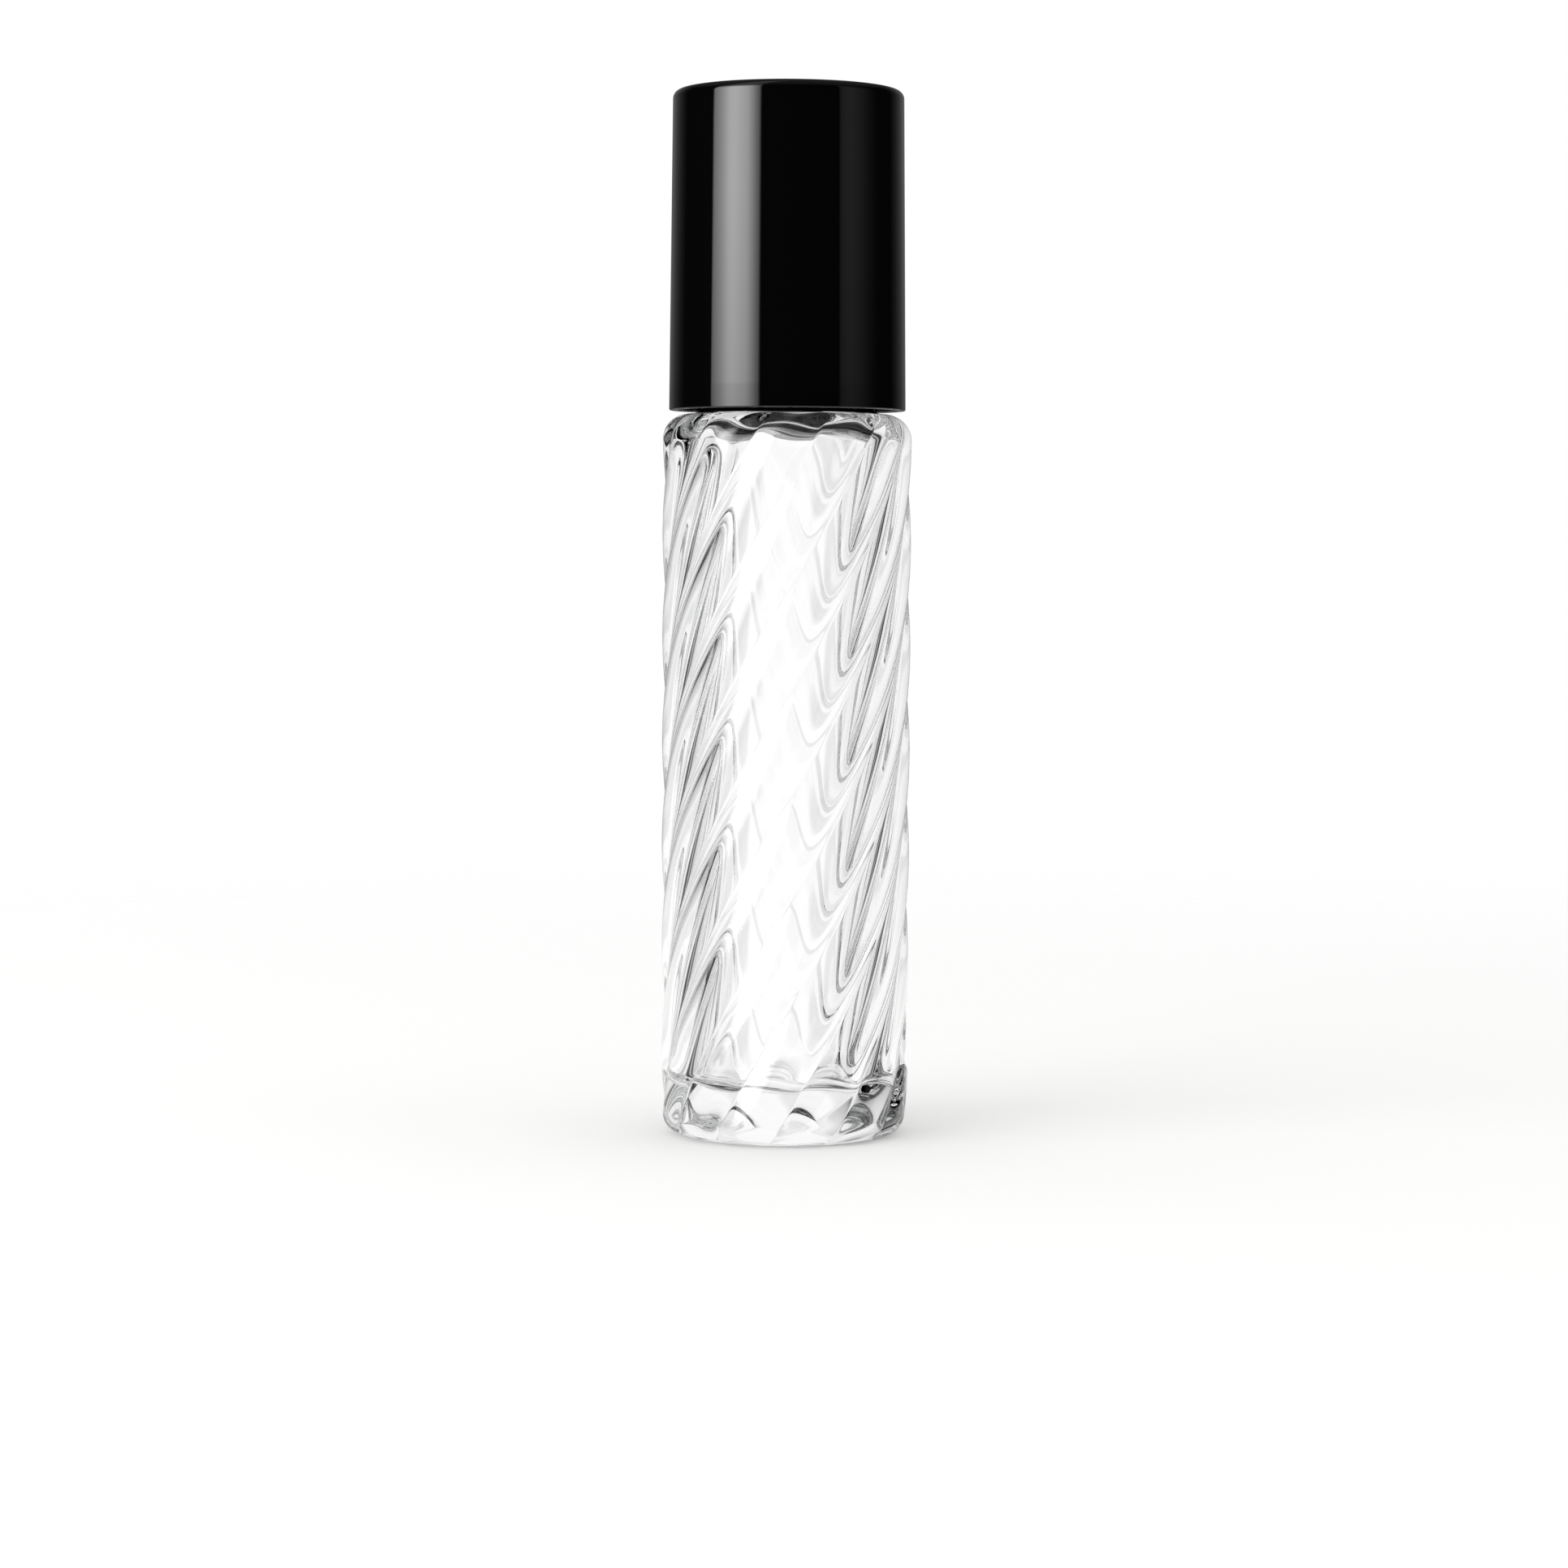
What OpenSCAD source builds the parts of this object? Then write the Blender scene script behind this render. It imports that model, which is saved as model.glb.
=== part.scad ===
// Roll-on bottle, 10 ml class: a clear glass body with twisted ribs, a pressed-in roller fitment
// with a steel ball, and a glossy two-piece screw cap with a sealing wad.
// Millimetres. The origin is the centre of the foot on the table, and +Z points up.

/* [Glass body] */
// Diameter over the rib crests
body_d = 20.4; // [18.5:0.1:24]
// Height from the table to the flat of the shoulder
body_h = 59.2; // [45:0.1:75]
// Glass between the rib valleys and the cavity
wall_t = 1.6; // [1.3:0.1:2.4]
// Glass under the cavity
floor_t = 4.3; // [3.5:0.1:7]
// Glass over the cavity, beside the neck
shoulder_t = 1.4; // [1.2:0.1:3]
// Rounding between the wall and the shoulder
shoulder_r = 2.1; // [1.4:0.1:2.3]
// Rounding between the wall and the foot
foot_r = 1.8; // [1.2:0.1:2.5]
// Rounding at the floor of the cavity
cavity_r = 1.2; // [0.6:0.1:2]
// Rounding between the cavity's wall and its roof
roof_r = 0.9; // [0.5:0.1:1.4]
// Rounding where the roof turns up into the neck
neck_root_r = 1; // [0.5:0.1:1.4]
// Width of the flat ring that the bottle stands on
foot_ring_w = 1; // [0.7:0.1:2]
// Rise of the hollow under the foot
push_up_h = 1.2; // [0.4:0.1:1.6]

/* [Twisted ribs] */
// Number of ribs around the body
rib_count = 12; // [8:1:16]
// Depth of the valleys below the crests
rib_depth = 0.5; // [0.3:0.05:0.7]
// Height in which a rib goes once round the body
rib_lead = 102; // [70:1:160]
// Turn of the ribs at the table, in degrees
rib_start = -8; // [-15:1:15]

/* [Neck] */
// Bore of the neck, which the fitment is pressed into
neck_bore_d = 10.6; // [9:0.1:11.4]
// Glass around the bore, at the root of the thread
neck_t = 1.9; // [1.5:0.1:2.1]
// Height from the shoulder to the rim
neck_h = 15.6; // [12:0.1:19]
// Rounding of the rim, outside and inside
rim_r = 0.5; // [0.2:0.05:0.7]
// Fillet between the neck and the shoulder
neck_fillet_r = 0.6; // [0.3:0.05:0.8]
// Height of the plain ring under the thread
collar_h = 1.4; // [1:0.1:2]
// How far that ring stands above the shoulder
collar_rise = 1.9; // [1.2:0.1:2.4]
// Height of the thread ridge, which the cap's liner clears
thread_t = 0.8; // [0.5:0.05:1]

/* [Roller fitment] */
// Length of the plug below the rim
plug_l = 9; // [7:0.1:11]
// Wall of the plug between its sealing rings
plug_t = 0.9; // [0.7:0.05:1.1]
// Number of sealing rings on the plug
seal_ring_count = 3; // [2:1:4]
// How far the sealing rings stand out of the plug
seal_ring_t = 0.25; // [0.15:0.05:0.35]
// Height of one sealing ring
seal_ring_h = 0.9; // [0.6:0.05:1.1]
// Thickness of the flange on the rim
flange_t = 0.9; // [0.6:0.05:1.3]
// Width of the rim that the flange leaves bare
flange_set = 0.7; // [0.2:0.05:0.8]
// Thinnest wall beside the ball, inside the neck
socket_t = 0.45; // [0.35:0.05:0.7]
// Wall of the cup around the ball, above the flange
cup_t = 1.2; // [1:0.05:1.3]
// Thickness of the bowl under the ball
bowl_t = 0.8; // [0.6:0.05:1]
// Height of the ball's centre above the rim
ball_rise = 1.2; // [1:0.05:1.6]
// Height of the retaining lip above the ball's centre
lip_rise = 1.5; // [1.2:0.05:1.7]
// Hole that feeds the ball from below
feed_d = 4.4; // [3:0.1:5]
// Number of feed slots around that hole
feed_slot_count = 4; // [3:1:6]
// Width of a feed slot
feed_slot_w = 1; // [0.6:0.05:1.3]
// How far a feed slot runs out past the hole
feed_slot_l = 1.1; // [0.6:0.05:1.3]

/* [Cap] */
// Gap between the mouth of the cap and the shoulder
cap_gap = 0.3; // [0.2:0.05:0.6]
// Wall of the outer shell
shell_t = 0.7; // [0.5:0.05:1]
// Top of the outer shell
crown_t = 1.2; // [0.9:0.05:1.8]
// How much slimmer in radius the cap is at its top than at its mouth
cap_draft = 0.25; // [0.1:0.05:0.3]
// Rounding of the cap's top edge
cap_edge_r = 0.7; // [0.4:0.05:0.9]
// Wall of the liner at its mouth, between the ribs that key it into the shell
liner_t = 0.75; // [0.65:0.05:1]
// Number of keying ribs on the liner
key_count = 24; // [12:1:36]
// Width of a keying rib
key_w = 0.7; // [0.5:0.05:0.9]
// How far the keying ribs stand out of the liner
key_t = 0.2; // [0.1:0.05:0.25]
// How much thicker that wall is above the neck
liner_step = 0.4; // [0.2:0.05:1]
// Recess of the liner's mouth behind the shell's mouth
liner_set = 0.6; // [0.4:0.05:1]
// Floor of the liner, above the wad
liner_plate_t = 1; // [0.7:0.05:1.4]
// Air space between the liner's floor and the shell's top
head_room = 1.25; // [0.8:0.05:2]
// How far the sealing wad reaches past the ball
wad_lap = 0.1; // [0:0.05:0.3]
// Thickness of the sealing wad
wad_t = 1.5; // [1:0.05:2]
// Depth of the dent that the ball leaves in the wad
wad_dent = 0.3; // [0.1:0.05:0.4]
// Wall of the ring that holds the wad
wad_ring_t = 0.8; // [0.6:0.05:1.1]
// How far the bead under the wad reaches in
wad_bead = 0.3; // [0.2:0.05:0.4]

/* [Fits] */
// Radial clearance between the plug's rings and the neck
plug_gap = 0.05; // [0.02:0.01:0.09]
// Clearance around the ball
ball_gap = 0.05; // [0.02:0.01:0.09]
// Clearance between the liner and the thread
thread_gap = 0.2; // [0.15:0.01:0.35]
// Clearance between the liner and the shell
shell_gap = 0.04; // [0.02:0.01:0.06]
// Clearance around the wad in its ring
wad_gap = 0.1; // [0.05:0.01:0.2]

/* [Hidden] */
$fn = 96;

// Points across one rib, rings along the wall and rings in each rounding of the glass
rib_points = 8;
wall_rings = 38;
round_rings = 5;
// How far cuts run past the faces that they open
overrun = 1;

// Radii and heights of the glass
body_r = body_d / 2;
hollow_r = body_r - rib_depth - wall_t;
bore_r = neck_bore_d / 2;
neck_r = bore_r + neck_t;
thread_r = neck_r + thread_t;
rim_z = body_h + neck_h;
hollow_top_z = body_h - shoulder_t;
push_up_w = body_r - foot_r - foot_ring_w;
push_up_r = (push_up_w * push_up_w + push_up_h * push_up_h) / (2 * push_up_h);

// Radii and heights of the fitment and its ball
ring_r = bore_r - plug_gap;
plug_r = ring_r - seal_ring_t;
stem_r = plug_r - plug_t;
socket_r = ring_r - socket_t;
ball_r = socket_r - ball_gap;
ball_z = rim_z + ball_rise;
lip_z = ball_z + lip_rise;
cup_r = socket_r + cup_t;
flange_r = neck_r - flange_set;
plug_z = rim_z - plug_l;

// The stack of pieces above the ball, and the cap that closes over them
wad_z = ball_z + ball_r - wad_dent;
wad_r = ball_r + wad_lap;
liner_plate_z = wad_z + wad_t + wad_gap;
crown_z = liner_plate_z + liner_plate_t + head_room;
cap_z = body_h + cap_gap;
cap_h = crown_z + crown_t - cap_z;
liner_z = cap_z + liner_set;
liner_bore_r = thread_r + thread_gap;
liner_mouth_r = liner_bore_r + liner_t;
shell_bore_r = liner_mouth_r + shell_gap;
cap_r = shell_bore_r + shell_t;

// Radius lost to the draft at height z of the cap
function draft(z) = cap_draft * (z - cap_z) / cap_h;

// One ring of the ribbed wall: [height, radius over the crests, share of the full rib depth]
foot_levels = [for (i = [0 : round_rings - 1]) let (a = 90 * i / round_rings)
    [foot_r * (1 - cos(a)), body_r - foot_r * (1 - sin(a)), sin(a)]];
wall_levels = [for (i = [0 : wall_rings])
    [foot_r + (body_h - foot_r - shoulder_r) * i / wall_rings, body_r, 1]];
shoulder_levels = [for (i = [1 : round_rings]) let (a = 90 * i / round_rings)
    [body_h - shoulder_r * (1 - sin(a)), body_r - shoulder_r * (1 - cos(a)), cos(a)]];
levels = concat(foot_levels, wall_levels, shoulder_levels);
ring_points = rib_count * rib_points;

// Depth of point j of a ring: ribs are rounded lobes that meet in creases
function dip(j) = rib_depth * (1 - sin(180 * (j % rib_points) / rib_points));
// Point j of a ring, turned with the lead of the ribs
function wall_point(level, j) =
    let (r = level[1] - level[2] * dip(j),
        a = rib_start + 360 * (j / ring_points + level[0] / rib_lead))
    [r * cos(a), r * sin(a), level[0]];
function at(k, j) = k * ring_points + j % ring_points;

// The outside of the glass below the neck
module ribbed_body() {
    last = len(levels) - 1;
    polyhedron(
        points = [for (level = levels) for (j = [0 : ring_points - 1]) wall_point(level, j)],
        faces = concat(
            [[for (j = [0 : ring_points - 1]) at(0, j)]],
            [[for (j = [ring_points - 1 : -1 : 0]) at(last, j)]],
            [for (k = [0 : last - 1]) for (j = [0 : ring_points - 1])
                [at(k, j), at(k + 1, j + 1), at(k, j + 1)]],
            [for (k = [0 : last - 1]) for (j = [0 : ring_points - 1])
                [at(k, j), at(k + 1, j), at(k + 1, j + 1)]]),
        convexity = 6);
}

// A disc in half section, from the axis out to radius r, with its outer edge rounded by e on top
module disc_section(r, z0, z1, e) {
    translate([0, z0]) square([r, z1 - z0 - e]);
    translate([0, z0]) square([r - e, z1 - z0]);
    translate([r - e, z1 - e]) circle(e);
}

module neck_section() {
    collar_z = body_h + collar_rise;
    disc_section(neck_r, hollow_top_z, rim_z, rim_r);
    difference() {
        translate([0, hollow_top_z]) square([neck_r + neck_fillet_r, shoulder_t + neck_fillet_r]);
        translate([neck_r + neck_fillet_r, body_h + neck_fillet_r]) circle(neck_fillet_r);
    }
    translate([0, collar_z]) square([thread_r - collar_h / 2, collar_h]);
    translate([thread_r - collar_h / 2, collar_z + collar_h / 2]) circle(collar_h / 2);
}

// The cavity: a straight hollow with a rounded floor and roof, which turns up into the bore
module hollow_section() {
    wall_z = floor_t + cavity_r;
    roof_z = hollow_top_z - roof_r;
    translate([0, floor_t]) square([hollow_r - cavity_r, cavity_r + overrun]);
    translate([hollow_r - cavity_r, wall_z]) circle(cavity_r);
    translate([0, wall_z]) square([hollow_r, roof_z - wall_z]);
    translate([hollow_r - roof_r, roof_z]) circle(roof_r);
    translate([0, roof_z - overrun]) square([hollow_r - roof_r, roof_r + overrun]);
    translate([0, roof_z]) square([bore_r, rim_z + overrun - roof_z]);
    difference() {
        translate([0, roof_z]) square([bore_r + neck_root_r, roof_r + neck_root_r]);
        translate([bore_r + neck_root_r, hollow_top_z + neck_root_r]) circle(neck_root_r);
    }
    difference() {
        translate([0, rim_z - rim_r]) square([bore_r + rim_r, rim_r + overrun]);
        translate([bore_r + rim_r, rim_z - rim_r]) circle(rim_r);
    }
}

module bottle() {
    color([0.92, 0.96, 0.96, 0.35])
        difference() {
            union() {
                ribbed_body();
                rotate_extrude() neck_section();
            }
            rotate_extrude() hollow_section();
            translate([0, 0, push_up_h - push_up_r]) sphere(push_up_r);
        }
}

// Plug with sealing rings, flange and cup, in half section
module housing_section() {
    step = plug_l / (seal_ring_count + 1);
    translate([0, plug_z]) square([plug_r, plug_l + overrun]);
    for (i = [1 : seal_ring_count])
        translate([0, plug_z + i * step - seal_ring_h / 2]) {
            square([ring_r - seal_ring_h / 2, seal_ring_h]);
            translate([ring_r - seal_ring_h / 2, seal_ring_h / 2]) circle(seal_ring_h / 2);
        }
    disc_section(flange_r, rim_z, rim_z + flange_t, flange_t / 2);
    disc_section(cup_r, rim_z, lip_z, cup_t / 2);
}

// The slots that wet the ball evenly, cut through the bowl beside the feed hole
module feed_slots() {
    for (i = [0 : feed_slot_count - 1])
        rotate(360 * i / feed_slot_count)
            translate([0, -feed_slot_w / 2, plug_z - overrun])
                cube([feed_d / 2 + feed_slot_l, feed_slot_w, ball_z - plug_z + overrun]);
}

module roller_housing() {
    color([0.9, 0.9, 0.88])
        difference() {
            rotate_extrude() housing_section();
            translate([0, 0, ball_z]) sphere(socket_r);
            translate([0, 0, plug_z - overrun]) cylinder(h = plug_l, d = feed_d);
            feed_slots();
            difference() {
                translate([0, 0, plug_z - overrun])
                    cylinder(h = ball_z - plug_z + overrun, r = stem_r);
                translate([0, 0, ball_z]) sphere(socket_r + bowl_t);
            }
        }
}

module roller_ball() {
    color([0.82, 0.83, 0.85]) translate([0, 0, ball_z]) sphere(ball_r);
}

// The wad in the head of the cap, dented where it presses on the ball
module cap_seal() {
    color([0.95, 0.95, 0.93])
        difference() {
            translate([0, 0, wad_z]) cylinder(h = wad_t, r = wad_r);
            translate([0, 0, ball_z]) sphere(ball_r + ball_gap);
        }
}

// Tube, floor and wad holder of the liner, in half section
module liner_section() {
    tube_r = liner_mouth_r - key_t;
    step_z = rim_z + thread_gap;
    ring_in = wad_r + wad_gap;
    bead_z = wad_z - wad_gap;
    polygon([
        [liner_bore_r, liner_z],
        [tube_r - draft(liner_z), liner_z],
        [tube_r - draft(crown_z), crown_z],
        [liner_bore_r - liner_step, crown_z],
        [liner_bore_r - liner_step, step_z + liner_step],
        [liner_bore_r, step_z]]);
    translate([0, liner_plate_z]) square([liner_bore_r, liner_plate_t]);
    translate([ring_in, bead_z]) square([wad_ring_t, liner_plate_z - bead_z]);
    translate([ring_in - wad_bead, bead_z - wad_bead]) square([wad_ring_t + wad_bead, wad_bead]);
}

// The ribs that stop the liner from turning in the shell
module liner_keys() {
    key_top_z = crown_z - overrun;
    intersection() {
        for (i = [0 : key_count - 1])
            rotate(360 * i / key_count)
                translate([liner_bore_r + (liner_t - key_t) / 3, -key_w / 2, liner_z + overrun])
                    cube([liner_t, key_w, key_top_z - liner_z - overrun]);
        rotate_extrude()
            polygon([
                [0, liner_z],
                [liner_mouth_r - draft(liner_z), liner_z],
                [liner_mouth_r - draft(crown_z), crown_z],
                [0, crown_z]]);
    }
}

module cap_liner() {
    color([0.09, 0.09, 0.09]) {
        rotate_extrude() liner_section();
        liner_keys();
    }
}

module cap_shell() {
    top_r = cap_r - cap_draft;
    top_z = cap_z + cap_h;
    color([0.02, 0.02, 0.02])
        difference() {
            rotate_extrude() {
                polygon([
                    [0, cap_z],
                    [cap_r, cap_z],
                    [top_r, top_z - cap_edge_r],
                    [0, top_z - cap_edge_r]]);
                disc_section(top_r, top_z - 2 * cap_edge_r, top_z, cap_edge_r);
            }
            rotate_extrude()
                polygon([
                    [0, cap_z - overrun],
                    [shell_bore_r - draft(cap_z - overrun), cap_z - overrun],
                    [shell_bore_r - draft(crown_z), crown_z],
                    [0, crown_z]]);
        }
}

bottle();
roller_housing();
roller_ball();
cap_seal();
cap_liner();
cap_shell();
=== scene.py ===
"""The looks of a roll-on bottle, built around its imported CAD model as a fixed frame."""

import math

import bmesh
import bpy
from bpy.props import FloatProperty, FloatVectorProperty, IntProperty, PointerProperty
from mathutils import Matrix, Quaternion, Vector


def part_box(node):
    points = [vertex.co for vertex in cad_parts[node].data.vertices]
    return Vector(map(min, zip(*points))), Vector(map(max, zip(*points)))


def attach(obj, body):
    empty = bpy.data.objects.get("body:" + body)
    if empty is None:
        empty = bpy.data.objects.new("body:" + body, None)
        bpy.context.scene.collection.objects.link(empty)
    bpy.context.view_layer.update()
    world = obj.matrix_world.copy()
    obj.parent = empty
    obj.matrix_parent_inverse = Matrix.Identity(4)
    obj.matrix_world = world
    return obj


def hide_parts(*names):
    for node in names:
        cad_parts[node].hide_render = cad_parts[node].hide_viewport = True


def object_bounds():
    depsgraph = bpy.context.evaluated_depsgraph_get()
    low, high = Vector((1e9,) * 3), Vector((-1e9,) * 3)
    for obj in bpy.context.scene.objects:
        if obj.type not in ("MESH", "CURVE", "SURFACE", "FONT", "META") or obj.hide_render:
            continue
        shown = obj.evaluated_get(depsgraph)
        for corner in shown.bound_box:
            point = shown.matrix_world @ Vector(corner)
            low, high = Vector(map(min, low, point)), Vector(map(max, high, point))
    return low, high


bl_info = {
    "name": "Roll-on bottle",
    "version": (1, 0, 0),
    "blender": (4, 5, 0),
    "location": "View3D > Sidebar > Bottle",
    "description": "Dresses a ribbed glass roll-on bottle, its roller fitment and its screw cap",
    "category": "Object",
}

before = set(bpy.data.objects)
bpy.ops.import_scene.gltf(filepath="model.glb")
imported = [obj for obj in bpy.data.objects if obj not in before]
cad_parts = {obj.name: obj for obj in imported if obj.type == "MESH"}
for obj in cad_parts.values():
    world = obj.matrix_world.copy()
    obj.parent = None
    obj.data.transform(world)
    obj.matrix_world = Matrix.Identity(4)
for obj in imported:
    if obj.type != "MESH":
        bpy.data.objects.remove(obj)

MM = 0.001
# Points nearer to each other than this are one point
MERGE_DISTANCE = 0.0005 * MM
CAD_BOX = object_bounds()
GLASS_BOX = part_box("bottle")
BALL_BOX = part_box("roller_ball")
WAD_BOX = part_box("cap_seal")
LINER_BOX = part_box("cap_liner")
SHELL_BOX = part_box("cap_shell")


def linear(code):
    """The linear colour of an sRGB hex value such as 0xFFFFFF."""
    parts = [(code >> shift & 255) / 255 for shift in (16, 8, 0)]
    return tuple(p / 12.92 if p <= 0.04045 else ((p + 0.055) / 1.055) ** 2.4 for p in parts)


def length(name, description, default):
    """A length property of a piece."""
    return FloatProperty(
        name=name, description=description, default=default, min=0, unit="LENGTH", precision=5
    )


def colour(name, description, code):
    """A colour property of a finish, from its sRGB hex value."""
    return FloatVectorProperty(
        name=name, description=description, default=linear(code), size=3, min=0, max=1, subtype="COLOR"
    )


class GlassSizes(bpy.types.PropertyGroup):
    """Sizes of the glass bottle."""

    body_radius: length("Body radius", "Radius over the rib crests", GLASS_BOX[1].x)
    body_height: length("Body height", "Height of the flat of the shoulder", 59.2 * MM)
    rim_height: length("Rim height", "Height of the rim of the neck", GLASS_BOX[1].z)
    hollow_radius: length("Cavity radius", "Radius of the cavity", 8.1 * MM)
    floor: length("Floor", "Glass under the cavity", 4.3 * MM)
    shoulder: length("Shoulder", "Glass over the cavity", 1.4 * MM)
    shoulder_round: length("Shoulder rounding", "Rounding between wall and shoulder", 2.1 * MM)
    foot_round: length("Foot rounding", "Rounding between wall and foot", 1.8 * MM)
    cavity_round: length("Cavity rounding", "Rounding at the floor of the cavity", 1.2 * MM)
    roof_round: length("Roof rounding", "Rounding at the top of the cavity", 0.9 * MM)
    neck_root: length("Neck root", "Rounding from the roof of the cavity into the bore", 1 * MM)
    foot_ring: length("Foot ring", "Width of the ring that it stands on", 1 * MM)
    push_up: length("Push-up", "Rise of the hollow under the foot", 1.2 * MM)
    neck_radius: length("Neck radius", "Radius of the neck at the root of the thread", 7.2 * MM)
    bore_radius: length("Neck bore", "Radius of the bore of the neck", 5.3 * MM)
    rim_round: length("Rim rounding", "Rounding of the rim", 0.5 * MM)
    neck_fillet: length("Neck fillet", "Fillet between neck and shoulder", 0.6 * MM)
    collar_height: length("Collar height", "Height of the ring under the thread", 1.4 * MM)
    collar_rise: length("Collar rise", "Height of that ring above the shoulder", 1.9 * MM)
    rib_count: IntProperty(name="Ribs", description="Number of twisted ribs", default=12, min=3, max=32)
    rib_depth: length("Rib depth", "Depth of the valleys between the ribs", 0.5 * MM)
    rib_lead: length("Rib lead", "Height in which a rib goes once round", 102 * MM)
    rib_start: FloatProperty(
        name="Rib start", description="Turn of the ribs at the table", default=math.radians(-8),
        subtype="ANGLE"
    )
    crease: FloatProperty(
        name="Crease softness", description="Softening of the creases, as a share of a rib", default=0.06,
        min=0.01, max=1, subtype="FACTOR"
    )
    inner_depth: length("Inner rib depth", "How deep the ribs show on the inside of the wall", 0.42 * MM)
    inner_crease: FloatProperty(
        name="Inner softness", description="Softening of the ribs inside, as a share of a rib", default=0.5,
        min=0.01, max=2, subtype="FACTOR"
    )
    thread_depth: length("Thread depth", "Height of the thread ridge", 0.8 * MM)
    thread_pitch: length("Thread pitch", "Rise of the thread in one turn", 3 * MM)
    thread_start: length("Thread start", "Height at which the thread starts", 64.6 * MM)
    thread_turns: FloatProperty(
        name="Thread turns", description="Turns of the thread", default=1.5, min=0.5, max=3
    )


class CapSizes(bpy.types.PropertyGroup):
    """Sizes of the cap."""

    edge_round: length("Edge rounding", "Rounding of the top edge", 0.7 * MM)
    lip_round: length("Lip rounding", "Rounding of the edge of the mouth", 0.12 * MM)
    wall: length("Wall", "Wall of the shell", 0.7 * MM)
    crown: length("Crown", "Top of the shell", 1.2 * MM)
    draft: length("Draft", "How much slimmer the cap is at its top", 0.25 * MM)


class LinerSizes(bpy.types.PropertyGroup):
    """Sizes of the threaded liner in the cap, and of the wad that it holds."""

    bore: length("Bore", "Radius of the bore that clears the thread of the neck", 8.2 * MM)
    upper_bore: length("Upper bore", "Radius of the bore above the neck", 7.8 * MM)
    step_height: length("Step height", "Height at which the bore narrows", 75 * MM)
    mouth_round: length("Mouth rounding", "Rounding of the edge of the mouth", 0.2 * MM)
    plate_height: length("Plate height", "Height of the underside of the plate", 82.05 * MM)
    plate: length("Plate", "Thickness of the plate", 1 * MM)
    ring_radius: length("Ring radius", "Inner radius of the ring that holds the wad", 4.95 * MM)
    ring: length("Ring", "Wall of that ring", 0.8 * MM)
    bead: length("Bead", "Reach of the bead that holds the wad from below", 0.3 * MM)
    bead_height: length("Bead height", "Height of the lower edge of the bead", 80.05 * MM)
    key_count: IntProperty(name="Keys", description="Number of keying ribs", default=24, min=3, max=48)
    key_width: length("Key width", "Width of a keying rib", 0.7 * MM)
    key_height: length("Key height", "How far the keying ribs stand out", 0.2 * MM)
    thread_depth: length("Thread depth", "Height of the thread", 0.7 * MM)
    thread_turns: FloatProperty(
        name="Thread turns", description="Turns of the thread", default=2, min=0.5, max=3
    )
    wad_round: length("Wad rounding", "Rounding of the edges of the wad", 0.22 * MM)


class Finishes(bpy.types.PropertyGroup):
    """Colours of the materials."""

    flint_glass: colour("Flint glass", "Tint of the surface of the glass", 0xFDFDFD)
    glass_depth: colour("Glass depth", "Tint that thick glass takes", 0xBABEBC)
    black_lacquer: colour("Black lacquer", "Colour of the cap", 0x030303)
    black_polypropylene: colour("Black polypropylene", "Colour of the liner", 0x121212)
    natural_polyethylene: colour("Natural polyethylene", "Colour of the roller housing", 0xE6E8E2)
    bearing_steel: colour("Bearing steel", "Colour of the ball", 0xC9CBCE)
    foam: colour("Foam", "Colour of the sealing wad", 0xF0EFE9)
    paper: colour("Paper", "Colour of the studio floor", 0xF7F7F6)


def line_to(start, end, step):
    """Points on the way from start to end, about a step apart, without the start."""
    count = max(1, round(math.dist(start, end) / step))
    return [tuple(a + (b - a) * i / count for a, b in zip(start, end)) for i in range(1, count + 1)]


def arc(centre, radius, first, last, count):
    """Points on an arc from the angle first to the angle last, in degrees, both ends included."""
    angles = [math.radians(first + (last - first) * i / count) for i in range(count + 1)]
    return [(centre[0] + radius * math.cos(a), centre[1] + radius * math.sin(a)) for a in angles]


def spin_outline(outline, steps):
    """A bmesh of the outline, (radius, height) points, spun once about the Z axis."""
    bm = bmesh.new()
    verts = [bm.verts.new((r, 0, z)) for r, z in outline]
    edges = [bm.edges.new(pair) for pair in zip(verts, verts[1:])]
    bmesh.ops.spin(
        bm, geom=verts + edges, cent=(0, 0, 0), axis=(0, 0, 1), angle=math.tau, steps=steps, use_merge=True
    )
    bmesh.ops.remove_doubles(bm, verts=bm.verts, dist=MERGE_DISTANCE)
    bmesh.ops.recalc_face_normals(bm, faces=bm.faces)
    return bm


def finish_piece(bm, name, body, material, node=None, sharp=30):
    """Makes a bmesh a smooth-shaded object that rides on a body, and may replace a CAD node."""
    mesh = bpy.data.meshes.new(name)
    bm.to_mesh(mesh)
    bm.free()
    mesh.shade_smooth()
    mesh.set_sharp_from_angle(angle=math.radians(sharp))
    piece = bpy.data.objects.new(name, mesh)
    bpy.context.scene.collection.objects.link(piece)
    piece.data.materials.append(material)
    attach(piece, body)
    if node:
        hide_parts(node)
    return piece


def merged_node(node):
    """A bmesh of a CAD node's own shape, with its loose triangles joined."""
    bm = bmesh.new()
    bm.from_mesh(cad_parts[node].data)
    bmesh.ops.remove_doubles(bm, verts=bm.verts, dist=MERGE_DISTANCE)
    return bm


# Widths of a thread's flat top and of each of its flanks, on the neck and in the liner, and the share of
# a turn in which a thread rises to its height at either end
NECK_THREAD = (0.7 * MM, 0.6 * MM)
LINER_THREAD = (0.4 * MM, 0.5 * MM)
THREAD_RUN_OUT = 1 / 9


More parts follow.
